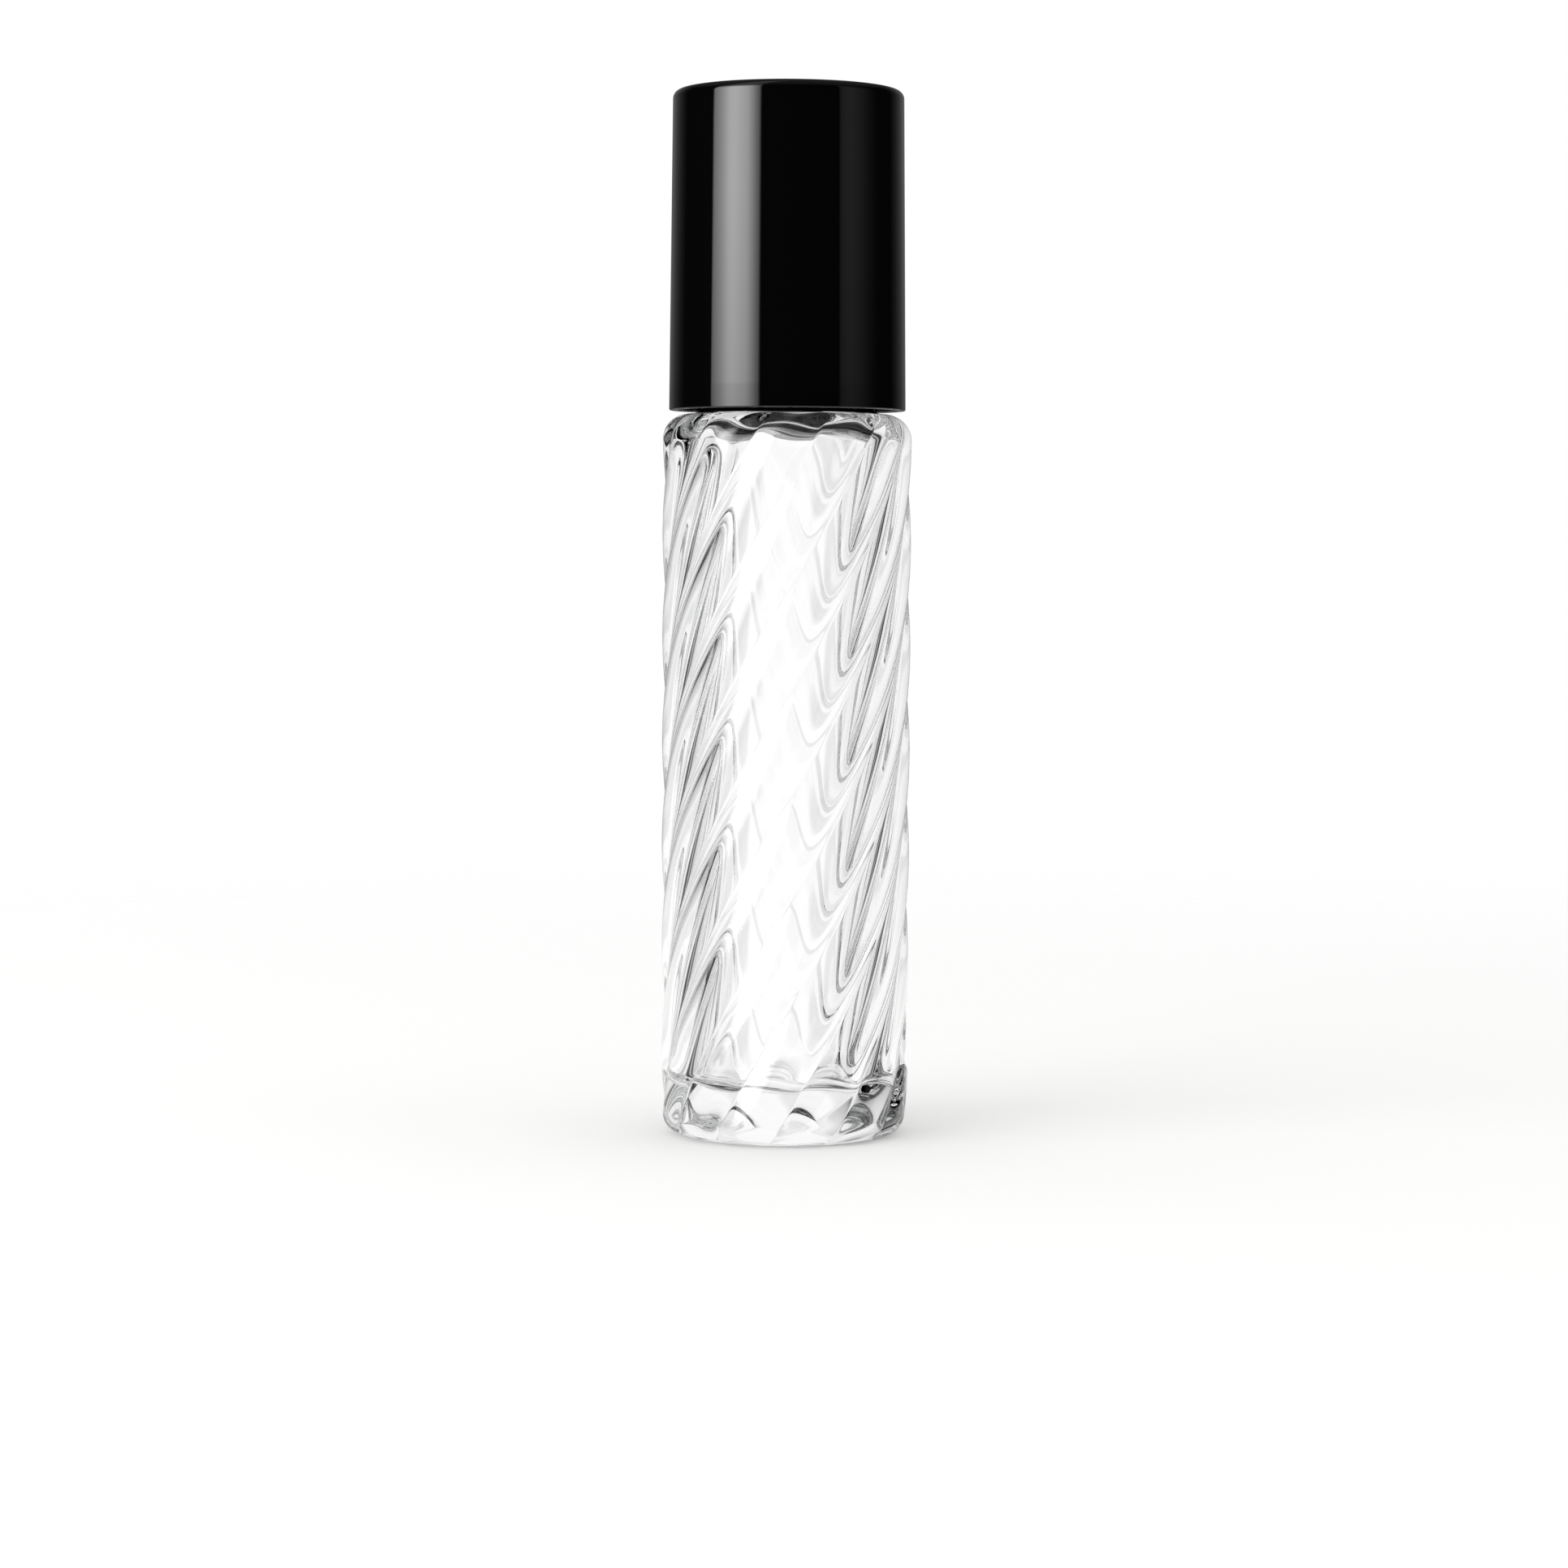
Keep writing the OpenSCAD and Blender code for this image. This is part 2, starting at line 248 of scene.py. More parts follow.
def thread_ridge(position, start, pitch, turns, widths):
    """Share of the thread's height at a point: 1 on the ridge's top, 0 off the thread."""
    top, flank = widths
    around = math.atan2(position.y, position.x) / math.tau
    turn = around + round((position.z - start) / pitch - around)
    away = abs(position.z - start - turn * pitch) - top / 2
    if away >= flank:
        return 0
    rise = 1 if away <= 0 else 0.5 + 0.5 * math.cos(math.pi * away / flank)
    run_out = min(turn, turns - turn) / THREAD_RUN_OUT
    return rise * min(1, max(0, run_out))


# Steps of the outline where the thread is raised, and the plain neck kept below and above the thread
THREAD_STEP = 0.16 * MM
THREAD_MARGIN = 1.5 * MM


def glass_outline(s):
    """Half section of the glass: under the foot, up the wall and neck, and down the cavity."""
    push_w = s.body_radius - s.foot_round - s.foot_ring
    push_r = (push_w**2 + s.push_up**2) / (2 * s.push_up)
    push_a = math.degrees(math.asin(push_w / push_r))
    hollow_top = s.body_height - s.shoulder
    collar_r = s.collar_height / 2
    collar_at = (s.neck_radius + s.thread_depth - collar_r, s.body_height + s.collar_rise + collar_r)
    thread_low = s.thread_start - THREAD_MARGIN
    thread_high = s.thread_start + s.thread_pitch * s.thread_turns + THREAD_MARGIN
    points = arc((0, s.push_up - push_r), push_r, 90, 90 - push_a, 8)
    points += line_to(points[-1], (push_w + s.foot_ring, 0), 0.5 * MM)[:-1]
    points += arc((s.body_radius - s.foot_round, s.foot_round), s.foot_round, -90, 0, 12)
    points += line_to(points[-1], (s.body_radius, s.body_height - s.shoulder_round), 0.55 * MM)[:-1]
    points += arc(
        (s.body_radius - s.shoulder_round, s.body_height - s.shoulder_round), s.shoulder_round, 0, 90, 12
    )
    points += arc((s.neck_radius + s.neck_fillet, s.body_height + s.neck_fillet), s.neck_fillet, 270, 180, 4)
    points += arc(collar_at, collar_r, -80, 80, 8)
    points += [(s.neck_radius, thread_low)]
    points += line_to(points[-1], (s.neck_radius, thread_high), THREAD_STEP)
    points += arc((s.neck_radius - s.rim_round, s.rim_height - s.rim_round), s.rim_round, 0, 90, 5)
    points += arc((s.bore_radius + s.rim_round, s.rim_height - s.rim_round), s.rim_round, 90, 180, 5)
    points += line_to(points[-1], (s.bore_radius, hollow_top + s.neck_root), 2 * MM)[:-1]
    points += arc((s.bore_radius + s.neck_root, hollow_top + s.neck_root), s.neck_root, 180, 270, 6)
    points += arc((s.hollow_radius - s.roof_round, hollow_top - s.roof_round), s.roof_round, 90, 0, 10)
    points += line_to(points[-1], (s.hollow_radius, s.floor + s.cavity_round), 1.1 * MM)[:-1]
    points += arc((s.hollow_radius - s.cavity_round, s.floor + s.cavity_round), s.cavity_round, 0, -90, 10)
    points += line_to(points[-1], (0, s.floor), 0.7 * MM)
    return points


def rib_share(s, height):
    """Share of the full rib depth at a height: the ribs run out in the foot and the shoulder."""
    low = 1 - min(height, s.foot_round) / s.foot_round
    high = 1 - min(s.body_height - height, s.shoulder_round) / s.shoulder_round
    return math.sqrt(max(0, 1 - max(low, high) ** 2))


def rib_dip(s, around, soft):
    """Depth under the crests at an angle round the body, before the twist, as a share of the full one."""
    wave = math.sqrt(math.sin(s.rib_count * around / 2) ** 2 + soft**2) - soft
    return 1 - wave / (math.sqrt(1 + soft**2) - soft)


# Height in which the inner ribs run out, from this share up a rounding
INNER_RUN_OUT = 2 * MM
INNER_START = 0.3


def inner_share(s, height):
    """Share of the inner ribs' depth at a height: they run out at the cavity's floor and roof."""
    low = (height - s.floor - s.cavity_round * INNER_START) / INNER_RUN_OUT
    high = (s.body_height - s.shoulder - s.roof_round * INNER_START - height) / INNER_RUN_OUT
    return min(1, max(0, low)) * min(1, max(0, high))


# How closely the points of the mesh gather at the creases between the ribs, from 0 to 1
CREASE_PACKING = 0.75
# Points of the spun glass across one rib
POINTS_PER_RIB = 20
# How much slimmer the liner is at its top, and the steps of its spin: a multiple of its keys
CAP_DRAFT = 0.25 * MM
LINER_STEPS = 288
# How near a point lies to a radius to count as on it
ON_RADIUS = 0.01 * MM
# Air between the ball and the dent in the wad
DENT_GAP = 0.05 * MM
# Plain bands at the liner's ends: up to the draft, and up to the keys
PLAIN_END = 1 * MM
KEY_END = 1.2 * MM
# How far outside the threaded bore the points of the liner's outside lie at least
LINER_WALL = 0.3 * MM


def twist_ribs(bm, s):
    """Presses the ribs into the outside of the spun glass and twists it."""
    wall = (s.hollow_radius + s.body_radius - s.rib_depth) / 2
    for vert in bm.verts:
        radius, height = vert.co.xy.length, vert.co.z
        if radius < MERGE_DISTANCE or height > s.body_height:
            continue
        around = math.atan2(vert.co.y, vert.co.x)
        if radius > wall or height < s.foot_round and radius > s.body_radius - s.foot_round:
            share = rib_share(s, height)
            around -= CREASE_PACKING * share * math.sin(s.rib_count * around) / s.rib_count
            radius -= share * s.rib_depth * rib_dip(s, around, s.crease)
        elif radius > s.hollow_radius - s.cavity_round:
            radius -= inner_share(s, height) * s.inner_depth * rib_dip(s, around, s.inner_crease)
        around += s.rib_start + math.tau * height / s.rib_lead
        vert.co.xy = radius * math.cos(around), radius * math.sin(around)


def raise_thread(bm, s):
    """Raises the thread on the spun neck."""
    for vert in bm.verts:
        radius = vert.co.xy.length
        if vert.co.z < s.body_height + s.collar_rise + s.collar_height or radius < s.neck_radius - ON_RADIUS:
            continue
        share = thread_ridge(vert.co, s.thread_start, s.thread_pitch, s.thread_turns, NECK_THREAD)
        vert.co.xy *= 1 + share * s.thread_depth / radius


def wad_outline(s):
    """Half section of the wad: the dent that the ball leaves, the edge and the top."""
    low, high, radius = WAD_BOX[0].z, WAD_BOX[1].z, WAD_BOX[1].x
    ball_r = BALL_BOX[1].x + DENT_GAP
    ball_z = (BALL_BOX[0].z + BALL_BOX[1].z) / 2
    rim = math.degrees(math.asin((low - ball_z) / ball_r))
    edge = s.wad_round
    points = arc((0, ball_z), ball_r, 90, rim, 12)
    points += line_to(points[-1], (radius - edge, low), 0.5 * MM)[:-1]
    points += arc((radius - edge, low + edge), edge, -90, 0, 6)
    points += arc((radius - edge, high - edge), edge, 0, 90, 6)
    return points + line_to(points[-1], (0, high), 0.8 * MM)


def liner_outline(s):
    """Half section of the liner: plate, ring and bead, upper bore, threaded bore and outside."""
    low, high, mouth_r = LINER_BOX[0].z, LINER_BOX[1].z, LINER_BOX[1].x - s.key_height
    ring_out = s.ring_radius + s.ring
    bead_top = s.bead_height + s.bead
    round_r = s.mouth_round
    step = s.bore - s.upper_bore
    points = [(0, s.plate_height)]
    points += line_to(points[-1], (s.ring_radius, s.plate_height), 0.8 * MM)
    points += [(s.ring_radius, bead_top)]
    points += arc((s.ring_radius, bead_top - s.bead / 2), s.bead / 2 * 1.0001, 90, 270, 6)
    points += [(ring_out, s.bead_height), (ring_out, s.plate_height), (s.upper_bore, s.plate_height)]
    points += [(s.upper_bore, s.step_height + step), (s.bore, s.step_height)]
    points += line_to(points[-1], (s.bore, low + round_r), THREAD_STEP)[:-1]
    points += arc((s.bore + round_r, low + round_r), round_r, 180, 270, 4)
    points += arc((mouth_r - round_r, low + round_r), round_r, -90, 0, 4)
    points += line_to(points[-1], (mouth_r, low + PLAIN_END), 0.5 * MM)
    points += line_to(points[-1], (mouth_r - CAP_DRAFT, high - PLAIN_END), 1.2 * MM)
    points += line_to(points[-1], (mouth_r - CAP_DRAFT, high), 0.5 * MM)
    points += [(s.upper_bore, high), (s.upper_bore, s.plate_height + s.plate)]
    return points + line_to(points[-1], (0, s.plate_height + s.plate), 1 * MM)


def cut_thread_and_keys(bm, s, glass):
    """Raises the thread inside the spun liner, between the turns of the neck's, and the keys outside."""
    low, high, mouth_r = LINER_BOX[0].z, LINER_BOX[1].z, LINER_BOX[1].x
    start = glass.thread_start - glass.thread_pitch / 2
    key_turn = math.tau / s.key_count
    half_key = s.key_width / 2 / mouth_r
    soft = math.tau / LINER_STEPS
    for vert in bm.verts:
        radius, height = vert.co.xy.length, vert.co.z
        if abs(radius - s.bore) < ON_RADIUS and height < s.step_height:
            share = thread_ridge(vert.co, start, glass.thread_pitch, s.thread_turns, LINER_THREAD)
            vert.co.xy *= 1 - share * s.thread_depth / radius
        elif radius > s.bore + LINER_WALL and low + KEY_END < height < high - KEY_END:
            around = math.atan2(vert.co.y, vert.co.x)
            away = abs(around - key_turn * round(around / key_turn))
            share = min(1, max(0, (half_key - away) / soft + 0.5))
            vert.co.xy *= 1 + share * s.key_height / radius


def new_material(name):
    """An empty node material and its output node."""
    material = bpy.data.materials.new(name)
    material.use_nodes = True
    tree = material.node_tree
    tree.nodes.clear()
    return material, tree, tree.nodes.new("ShaderNodeOutputMaterial")


def add(tree, kind, inputs=None, **settings):
    """Adds a node with its settings, and with its inputs as values or links."""
    node = tree.nodes.new("ShaderNode" + kind)
    for name, value in settings.items():
        setattr(node, name, value)
    for name, value in (inputs or {}).items():
        if isinstance(value, bpy.types.NodeSocket):
            tree.links.new(value, node.inputs[name])
        else:
            node.inputs[name].default_value = value
    return node


def per_mm(size):
    """Texture scale that gives features of a size in millimetres, in metres of space."""
    return 1 / (size * MM)


def opaque(rgb):
    """A colour with full alpha."""
    return (*rgb, 1)


def flint_glass(finish):
    """Flint soda-lime glass, blown in a mould: clear and fire-polished, with a faint waviness of the
    wall, which bends the reflections a little, and a slight grey in its thick parts."""
    material, tree, out = new_material("flint_glass")
    place = add(tree, "TexCoord").outputs["Object"]
    waves = add(tree, "TexNoise", {"Vector": place, "Scale": per_mm(6), "Detail": 1, "Roughness": 0.4})
    bump = add(tree, "Bump", {"Height": waves.outputs["Fac"], "Strength": 0.1, "Distance": 0.02 * MM})
    shader = add(tree, "BsdfPrincipled", {
        "Base Color": opaque(finish.flint_glass), "Roughness": 0, "IOR": 1.52,
        "Transmission Weight": 1, "Normal": bump.outputs["Normal"]})
    tree.links.new(shader.outputs["BSDF"], out.inputs["Surface"])
    dim = add(tree, "VolumeAbsorption", {"Color": opaque(finish.glass_depth), "Density": 12})
    tree.links.new(dim.outputs["Volume"], out.inputs["Volume"])
    return material


def black_lacquer(finish):
    """Black plastic under a clear UV lacquer: mirror-like, with the faint orange peel of a sprayed coat."""
    material, tree, out = new_material("black_lacquer")
    place = add(tree, "TexCoord").outputs["Object"]
    peel = add(tree, "TexNoise", {"Vector": place, "Scale": per_mm(2.2), "Detail": 2})
    bump = add(tree, "Bump", {"Height": peel.outputs["Fac"], "Strength": 0.1, "Distance": 0.01 * MM})
    shader = add(tree, "BsdfPrincipled", {
        "Base Color": opaque(finish.black_lacquer), "Roughness": 0.05, "IOR": 1.5,
        "Normal": bump.outputs["Normal"]})
    tree.links.new(shader.outputs["BSDF"], out.inputs["Surface"])
    return material


def bearing_steel(finish):
    """Lapped stainless steel: near-mirror, with a slight haze and hairlines from rubbing in its socket."""
    material, tree, out = new_material("bearing_steel")
    place = add(tree, "TexCoord").outputs["Object"]
    turned = add(tree, "Mapping", {"Vector": place, "Rotation": (0.4, 0.9, 0.2), "Scale": (1, 14, 1)})
    hairs = add(tree, "TexNoise", {"Vector": turned.outputs["Vector"], "Scale": per_mm(1.6), "Detail": 3})
    haze = add(tree, "TexNoise", {"Vector": place, "Scale": per_mm(2.5), "Detail": 1})
    worn = add(tree, "Math", {0: hairs.outputs["Fac"], 1: haze.outputs["Fac"]}, operation="MULTIPLY")
    rough = add(tree, "MapRange", {
        "Value": worn.outputs[0], "From Min": 0.12, "From Max": 0.42, "To Min": 0.05, "To Max": 0.17})
    bump = add(tree, "Bump", {"Height": hairs.outputs["Fac"], "Strength": 0.06, "Distance": 0.01 * MM})
    shader = add(tree, "BsdfPrincipled", {
        "Base Color": opaque(finish.bearing_steel), "Metallic": 1, "Roughness": rough.outputs["Result"],
        "Normal": bump.outputs["Normal"]})
    tree.links.new(shader.outputs["BSDF"], out.inputs["Surface"])
    return material


def natural_polyethylene(finish):
    """Natural low-density polyethylene, injection moulded: milky and waxy, lit through at its thin
    edges, with faint flow clouds and a soft sheen."""
    material, tree, out = new_material("natural_polyethylene")
    place = add(tree, "TexCoord").outputs["Object"]
    flow = add(tree, "TexNoise", {"Vector": place, "Scale": per_mm(3), "Detail": 2})
    tone = add(tree, "MapRange", {
        "Value": flow.outputs["Fac"], "From Min": 0.3, "From Max": 0.7, "To Min": 0.9, "To Max": 1})
    cloud = add(tree, "VectorMath", {0: finish.natural_polyethylene, 1: tone.outputs["Result"]},
                operation="MULTIPLY")
    rough = add(tree, "MapRange", {
        "Value": flow.outputs["Fac"], "From Min": 0.3, "From Max": 0.7, "To Min": 0.3, "To Max": 0.42})
    grain = add(tree, "TexNoise", {"Vector": place, "Scale": per_mm(0.4), "Detail": 2})
    bump = add(tree, "Bump", {"Height": grain.outputs["Fac"], "Strength": 0.12, "Distance": 0.01 * MM})
    shader = add(tree, "BsdfPrincipled", {
        "Base Color": cloud.outputs["Vector"], "Roughness": rough.outputs["Result"], "IOR": 1.51,
        "Subsurface Weight": 0.7, "Subsurface Radius": (1, 1, 0.95), "Subsurface Scale": 0.6 * MM,
        "Normal": bump.outputs["Normal"]})
    tree.links.new(shader.outputs["BSDF"], out.inputs["Surface"])
    return material


def foam_wad(finish):
    """Expanded polyethylene foam with a skin: matt white, with the dimples of its closed cells, and painted
    shade that darkens the colour towards each cell's edge.
    """
    material, tree, out = new_material("foam_wad")
    place = add(tree, "TexCoord").outputs["Object"]
    cells = add(tree, "TexVoronoi", {"Vector": place, "Scale": per_mm(0.35)})
    # Painted shade between the cells: the foam colour runs from full in the middle of each cell down to 0.82
    # towards its edge
    painted_cell_shade = add(tree, "MapRange", {
        "Value": cells.outputs["Distance"], "From Max": 0.7, "To Min": 1, "To Max": 0.82})
    shaded_foam_colour = add(tree, "VectorMath", {0: finish.foam, 1: painted_cell_shade.outputs["Result"]}, operation="MULTIPLY")
    bump = add(tree, "Bump", {"Height": cells.outputs["Distance"], "Strength": 0.5, "Distance": 0.05 * MM})
    shader = add(tree, "BsdfPrincipled", {
        "Base Color": shaded_foam_colour.outputs["Vector"], "Roughness": 0.75, "IOR": 1.5,
        "Normal": bump.outputs["Normal"]})
    tree.links.new(shader.outputs["BSDF"], out.inputs["Surface"])
    return material


def black_polypropylene(finish):
    """Injection-moulded black polypropylene: satin, with a fine grain from the mould."""
    material, tree, out = new_material("black_polypropylene")
    place = add(tree, "TexCoord").outputs["Object"]
    grain = add(tree, "TexNoise", {"Vector": place, "Scale": per_mm(0.3), "Detail": 3})
    flow = add(tree, "TexNoise", {"Vector": place, "Scale": per_mm(4)})
    rough = add(tree, "MapRange", {
        "Value": flow.outputs["Fac"], "From Min": 0.3, "From Max": 0.7, "To Min": 0.3, "To Max": 0.45})
    bump = add(tree, "Bump", {"Height": grain.outputs["Fac"], "Strength": 0.2, "Distance": 0.01 * MM})
    shader = add(tree, "BsdfPrincipled", {
        "Base Color": opaque(finish.black_polypropylene), "Roughness": rough.outputs["Result"], "IOR": 1.49,
        "Normal": bump.outputs["Normal"]})
    tree.links.new(shader.outputs["BSDF"], out.inputs["Surface"])
    return material


class ROLLON_OT_glass_bottle(bpy.types.Operator):
    """Model the glass bottle with its twisted ribs and its thread"""

    bl_idname = "rollon.glass_bottle"
    bl_label = "Glass bottle"

    def execute(self, context):
        s = context.scene.rollon_glass
        bm = spin_outline(glass_outline(s), POINTS_PER_RIB * s.rib_count)
        raise_thread(bm, s)
        twist_ribs(bm, s)
        material = flint_glass(context.scene.rollon_finishes)
        finish_piece(bm, "glass_bottle", "bottle", material, "bottle", sharp=80)
        return {"FINISHED"}


class ROLLON_OT_roller_fitment(bpy.types.Operator):
    """Model the plug that holds the ball in the neck"""

    bl_idname = "rollon.roller_fitment"
    bl_label = "Roller fitment"

    def execute(self, context):
        material = natural_polyethylene(context.scene.rollon_finishes)
        bm = merged_node("roller_housing")
        finish_piece(bm, "roller_fitment", "fitment", material, "roller_housing")
        return {"FINISHED"}


class ROLLON_OT_steel_ball(bpy.types.Operator):
    """Model the rolling ball"""

    bl_idname = "rollon.steel_ball"
    bl_label = "Steel ball"

    def execute(self, context):
        radius = BALL_BOX[1].x
        centre = (BALL_BOX[0].z + BALL_BOX[1].z) / 2
        bm = spin_outline(arc((0, centre), radius, -90, 90, 80), 160)
        material = bearing_steel(context.scene.rollon_finishes)
        finish_piece(bm, "steel_ball", "ball", material, "roller_ball", sharp=80)
        return {"FINISHED"}


class ROLLON_OT_sealing_wad(bpy.types.Operator):
    """Model the foam wad that presses on the ball"""

    bl_idname = "rollon.sealing_wad"
    bl_label = "Sealing wad"

    def execute(self, context):
        bm = spin_outline(wad_outline(context.scene.rollon_liner), 128)
        material = foam_wad(context.scene.rollon_finishes)
        finish_piece(bm, "sealing_wad", "seal", material, "cap_seal", sharp=40)
        return {"FINISHED"}


class ROLLON_OT_threaded_liner(bpy.types.Operator):
    """Model the threaded liner inside the cap"""

    bl_idname = "rollon.threaded_liner"
    bl_label = "Threaded liner"

    def execute(self, context):
        s = context.scene.rollon_liner
        bm = spin_outline(liner_outline(s), LINER_STEPS)
        cut_thread_and_keys(bm, s, context.scene.rollon_glass)
        material = black_polypropylene(context.scene.rollon_finishes)
        finish_piece(bm, "threaded_liner", "cap", material, "cap_liner")
        return {"FINISHED"}


class ROLLON_OT_cap_cover(bpy.types.Operator):
    """Model the glossy shell of the cap"""

    bl_idname = "rollon.cap_cover"
    bl_label = "Cap cover"

    def execute(self, context):
        s = context.scene.rollon_cap
        low, high = SHELL_BOX[0].z, SHELL_BOX[1].z
        foot_r = SHELL_BOX[1].x
        top_r = foot_r - s.draft
        edge, lip = s.edge_round, s.lip_round
        ceiling = high - s.crown
        outline = [(0, ceiling)]
        outline += line_to(outline[-1], (top_r - s.wall, ceiling), 1.5 * MM)
        outline += line_to(outline[-1], (foot_r - s.wall, low + lip), 2 * MM)[:-1]
        outline += arc((foot_r - s.wall + lip, low + lip), lip, 180, 270, 4)
        outline += arc((foot_r - lip, low + lip), lip, -90, 0, 4)
        outline += line_to(outline[-1], (top_r, high - edge), 2 * MM)[:-1]
        outline += arc((top_r - edge, high - edge), edge, 0, 90, 12)
        outline += line_to(outline[-1], (0, high), 1.5 * MM)
        material = black_lacquer(context.scene.rollon_finishes)
        bm = spin_outline(outline, 256)
        finish_piece(bm, "cap_cover", "cap", material, "cap_shell", sharp=40)
        return {"FINISHED"}


class ROLLON_OT_stage(bpy.types.Operator):
    """Set up the floor, the light and the camera"""

    bl_idname = "rollon.stage"
    bl_label = "Stage"

    def execute(self, context):
        make_floor(context.scene)
        make_world(context.scene)
        make_lights(context.scene)
        make_camera(context.scene)
        return {"FINISHED"}


def make_floor(scene):
    """A pale sheet of paper under the bottle."""
    bm = bmesh.new()
    bmesh.ops.create_circle(bm, cap_ends=True, segments=96, radius=0.6)
    mesh = bpy.data.meshes.new("floor")
    bm.to_mesh(mesh)
    bm.free()
    floor = bpy.data.objects.new("floor", mesh)
    scene.collection.objects.link(floor)
    material, tree, out = new_material("studio_paper")
    path = add(tree, "LightPath")
    place = add(tree, "TexCoord").outputs["Object"]
    away = add(tree, "VectorMath", {0: place}, operation="LENGTH")
    fade = add(tree, "MapRange", {"Value": away.outputs["Value"], "From Min": 0.06, "From Max": 0.3},
               interpolation_type="SMOOTHSTEP")
    diffuse = add(tree, "BsdfDiffuse", {"Color": opaque(scene.rollon_finishes.paper)})
    lift = add(tree, "Emission", {"Strength": 0.2})
    paper = add(tree, "AddShader", {0: diffuse.outputs[0], 1: lift.outputs[0]})
    clear = add(tree, "BsdfTransparent")
    faded = add(tree, "MixShader", {0: fade.outputs["Result"], 1: paper.outputs[0], 2: clear.outputs[0]})
    through_glass = path.outputs["Is Transmission Ray"]
    shown = add(tree, "MixShader", {0: through_glass, 1: faded.outputs[0], 2: clear.outputs[0]})
    tree.links.new(shown.outputs[0], out.inputs["Surface"])
    mesh.materials.append(material)


# Brightness of the studio by bearing, in degrees to the right of the backdrop's middle, as glossy
# surfaces mirror it: a dim backdrop, a soft strip at the right and a bright softbox at the left
MIRRORED_STUDIO = (
    (-180, 0.004), (-153, 0.004), (-151, 2.2), (-149, 2.7), (-144, 5.2), (-139, 7.6), (-134, 8.3),
    (-126, 9.5), (-120, 9), (-112, 5.8), (-103, 3.2), (-101.5, 2.8), (-100, 0.01), (-60, 0.004),
    (-52, 0.05), (-27, 0.22), (27, 0.22), (52, 0.05), (60, 0.004), (82, 0.01), (88, 0.04), (96, 0.1),
    (104, 0.2), (115, 0.31), (122, 0.29), (127, 0.2), (129, 0.004), (180, 0.004))
# And by height, from -1 straight down to 1 straight up
MIRRORED_LEVELS = (
    (-1, 0.3), (-0.5, 0.6), (0.03, 0.72), (0.1, 1), (0.3, 1), (0.45, 0.6), (0.6, 0.08), (1, 0.08))
# The faint light from the ceiling, which shows on what faces up
CEILING_LEVELS = ((-1, 0), (0.5, 0), (0.75, 0.12), (1, 0.16))

# The same as clear glass shows it, with the camera's half of the room like the half behind the bottle:
# a wide white backdrop with a greyer band at either side of its middle, which draws the ribs there as
# soft bands, and black flags at its sides, which draw the dark lines of the ribs
REFRACTED_STUDIO = (
    (-90, 1.1), (-81, 0.95), (-75, 0.65), (-70, 0.55), (-67, 0.05), (-63, 0.05), (-60, 0.5), (-57, 0.5),
    (-54, 0.04), (-41, 0.04), (-37, 0.55), (-28, 0.82), (-24, 1.04), (-17, 0.92), (-10, 0.94), (-7, 1.12),
    (7, 1.12), (10, 0.94), (15, 0.94), (20, 1.1), (40, 1), (49, 0.8), (53, 0.04), (61, 0.04), (64, 0.5),
    (66, 0.5), (68, 0.05), (71, 0.05), (74, 0.6), (81, 0.9), (90, 1.1))
REFRACTED_LEVELS = (
    (-1, 0.85), (-0.6, 0.85), (-0.4, 0.9), (-0.25, 1), (0.35, 1), (0.75, 0.8), (1, 0.75))


def make_world(scene):
    """White where the camera looks, and a studio with panels for gloss and for glass."""
    world = bpy.data.worlds.new("studio")
    world.use_nodes = True
    tree = world.node_tree
    tree.nodes.clear()
    out = tree.nodes.new("ShaderNodeOutputWorld")
    path = add(tree, "LightPath")
    axes = add(tree, "SeparateXYZ", {0: add(tree, "TexCoord").outputs["Generated"]})
    turn = add(tree, "Math", {0: axes.outputs["X"], 1: axes.outputs["Y"]}, operation="ARCTAN2")
    depth = add(tree, "Math", {0: axes.outputs["Y"]}, operation="ABSOLUTE")
    fold = add(tree, "Math", {0: axes.outputs["X"], 1: depth.outputs[0]}, operation="ARCTAN2")
    strips = panels(tree, turn.outputs[0], 180, MIRRORED_STUDIO, axes.outputs["Z"], MIRRORED_LEVELS)
    overhead = brightness_ramp(tree, axes.outputs["Z"], 1, CEILING_LEVELS)
    ceiling = add(tree, "Background", {"Color": overhead})
    mirrored = add(tree, "AddShader", {0: strips, 1: ceiling.outputs[0]}).outputs[0]
    refracted = panels(tree, fold.outputs[0], 90, REFRACTED_STUDIO, axes.outputs["Z"], REFRACTED_LEVELS)
    white = add(tree, "Background", {"Color": (1, 1, 1, 1), "Strength": 1}).outputs[0]
    ambient = add(tree, "Background", {"Color": (1, 1, 1, 1), "Strength": 0.75}).outputs[0]
    gloss = add(tree, "MixShader", {0: path.outputs["Is Glossy Ray"], 1: ambient, 2: mirrored})
    through_glass = path.outputs["Is Transmission Ray"]
    clear = add(tree, "MixShader", {0: through_glass, 1: gloss.outputs[0], 2: refracted})
    seen = add(tree, "MixShader", {0: path.outputs["Is Camera Ray"], 1: clear.outputs[0], 2: white})
    tree.links.new(seen.outputs[0], out.inputs["Surface"])
    scene.world = world


def panels(tree, turn, reach, bearings, height, levels):
    """A white background with a strength by bearing, in degrees, times one by height, from -1 to 1."""
    stops = [(math.radians(bearing), strength) for bearing, strength in bearings]
    around = brightness_ramp(tree, turn, math.radians(reach), stops)
    upward = brightness_ramp(tree, height, 1, levels)
    return add(tree, "Background", {"Color": around, "Strength": upward}).outputs[0]


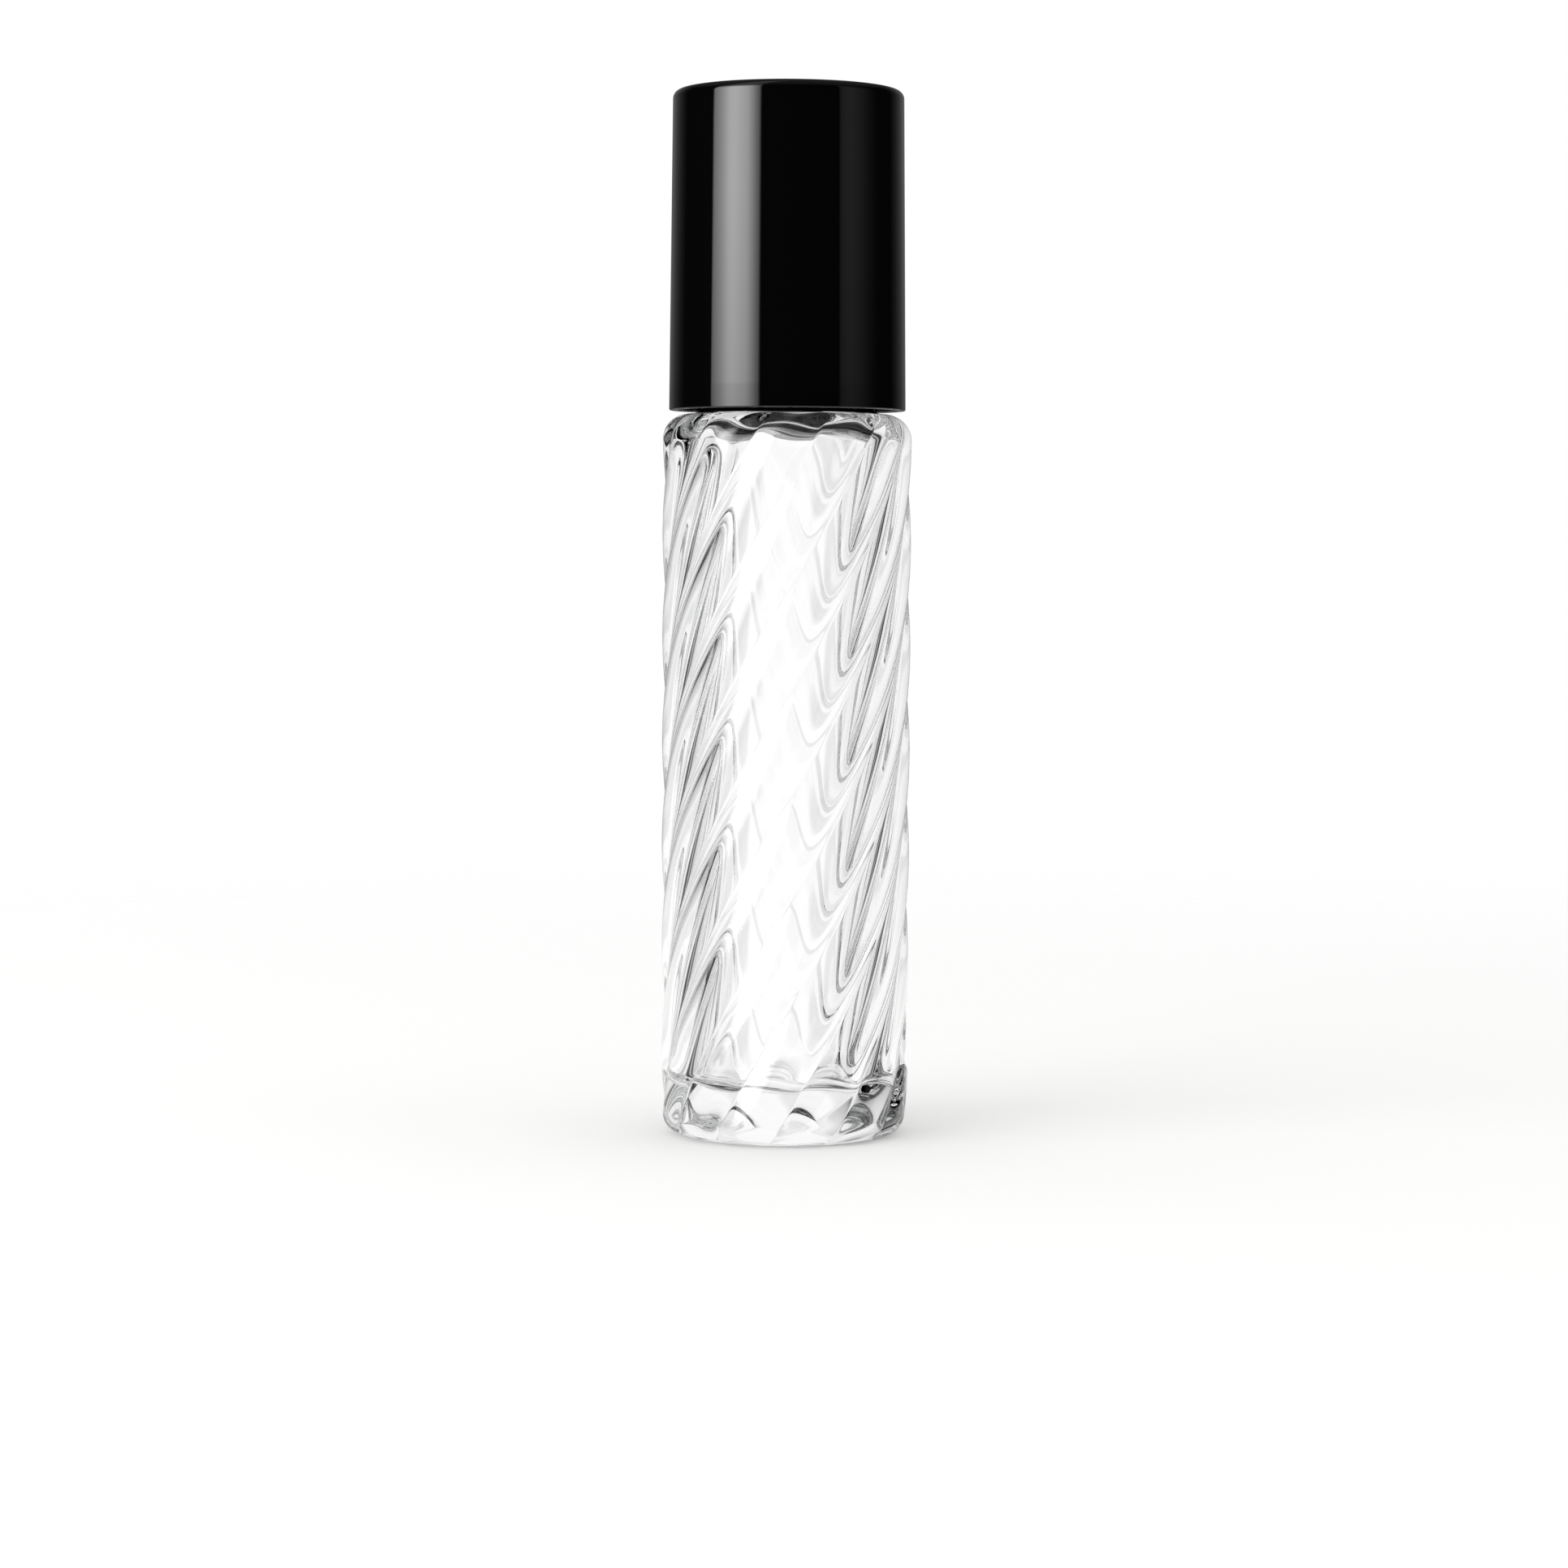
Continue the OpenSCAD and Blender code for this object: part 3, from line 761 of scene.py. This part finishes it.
def brightness_ramp(tree, value, reach, stops):
    """A grey that follows a value between minus and plus its reach through the stops."""
    share = add(tree, "MapRange", {"Value": value, "From Min": -reach, "From Max": reach})
    ramp = add(tree, "ValToRGB", {"Fac": share.outputs["Result"]})
    elements = ramp.color_ramp.elements
    while len(elements) < len(stops):
        elements.new(0.5)
    for element, (place, strength) in zip(elements, stops):
        element.position = (place / reach + 1) / 2
        element.color = (strength, strength, strength, 1)
    return ramp.outputs["Color"]


def softbox(scene, name, *, azimuth, elevation, distance, width, height, radiance):
    """An area lamp at an azimuth to the right of the camera, in degrees, turned to the bottle."""
    lamp = bpy.data.lights.new(name, "AREA")
    lamp.shape = "RECTANGLE"
    lamp.size, lamp.size_y = width, height
    lamp.energy = radiance * math.pi * width * height
    box = bpy.data.objects.new(name, lamp)
    a, e = math.radians(azimuth), math.radians(elevation)
    away = Vector((math.sin(a) * math.cos(e), -math.cos(a) * math.cos(e), math.sin(e)))
    middle = Vector((0, 0, (CAD_BOX[0].z + CAD_BOX[1].z) / 2))
    box.matrix_world = Matrix.LocRotScale(middle + away * distance, away.to_track_quat("Z", "Y"), None)
    box.visible_camera = box.visible_glossy = box.visible_transmission = False
    scene.collection.objects.link(box)


def make_lights(scene):
    """A large soft light at the left of the camera and a weak one at the right."""
    softbox(scene, "key_softbox", azimuth=-53, elevation=3, distance=0.6, width=0.57, height=0.3, radiance=7)
    softbox(scene, "fill_softbox", azimuth=72, elevation=3, distance=0.6, width=0.4, height=0.3, radiance=0.8)


def make_camera(scene):
    """The photograph's viewpoint: a little above the middle of the bottle, looking slightly down."""
    camera = bpy.data.objects.new("camera", bpy.data.cameras.new("camera"))
    camera.data.lens = 91.2
    camera.data.sensor_width = 36
    camera.data.clip_start = 0.01
    camera.location = (-0.00014, -0.327, 0.04947)
    look = Quaternion((1, 0, 0), math.radians(90 - 3.61))
    roll = Quaternion((0, 0, 1), math.radians(0.25))
    camera.rotation_mode = "QUATERNION"
    camera.rotation_quaternion = look @ roll
    scene.collection.objects.link(camera)
    scene.camera = camera


class ROLLON_PT_panel(bpy.types.Panel):
    """Lists the bottle's pieces"""

    bl_label = "Roll-on bottle"
    bl_idname = "ROLLON_PT_panel"
    bl_space_type = "VIEW_3D"
    bl_region_type = "UI"
    bl_category = "Bottle"

    def draw(self, context):
        for step in STEPS:
            self.layout.operator(step.bl_idname)


STEPS = (
    ROLLON_OT_stage, ROLLON_OT_glass_bottle, ROLLON_OT_roller_fitment, ROLLON_OT_steel_ball,
    ROLLON_OT_sealing_wad, ROLLON_OT_threaded_liner, ROLLON_OT_cap_cover)
CLASSES = (GlassSizes, CapSizes, LinerSizes, Finishes, *STEPS, ROLLON_PT_panel)


def register():
    """Registers the classes and puts the sizes on the scene."""
    for cls in CLASSES:
        bpy.utils.register_class(cls)
    bpy.types.Scene.rollon_glass = PointerProperty(type=GlassSizes)
    bpy.types.Scene.rollon_cap = PointerProperty(type=CapSizes)
    bpy.types.Scene.rollon_liner = PointerProperty(type=LinerSizes)
    bpy.types.Scene.rollon_finishes = PointerProperty(type=Finishes)


def unregister():
    """Takes the sizes off the scene and unregisters the classes."""
    del bpy.types.Scene.rollon_finishes
    del bpy.types.Scene.rollon_liner
    del bpy.types.Scene.rollon_cap
    del bpy.types.Scene.rollon_glass
    for cls in reversed(CLASSES):
        bpy.utils.unregister_class(cls)


def main():
    register()
    scene = bpy.context.scene
    scene.view_settings.view_transform = "Standard"
    # Clear glass with ribs on both sides needs long paths
    scene.cycles.max_bounces = 32
    scene.cycles.transmission_bounces = 32
    scene.cycles.glossy_bounces = 16
    for step in STEPS:
        group, action = step.bl_idname.split(".")
        getattr(getattr(bpy.ops, group), action)()


if __name__ == "__main__":
    main()
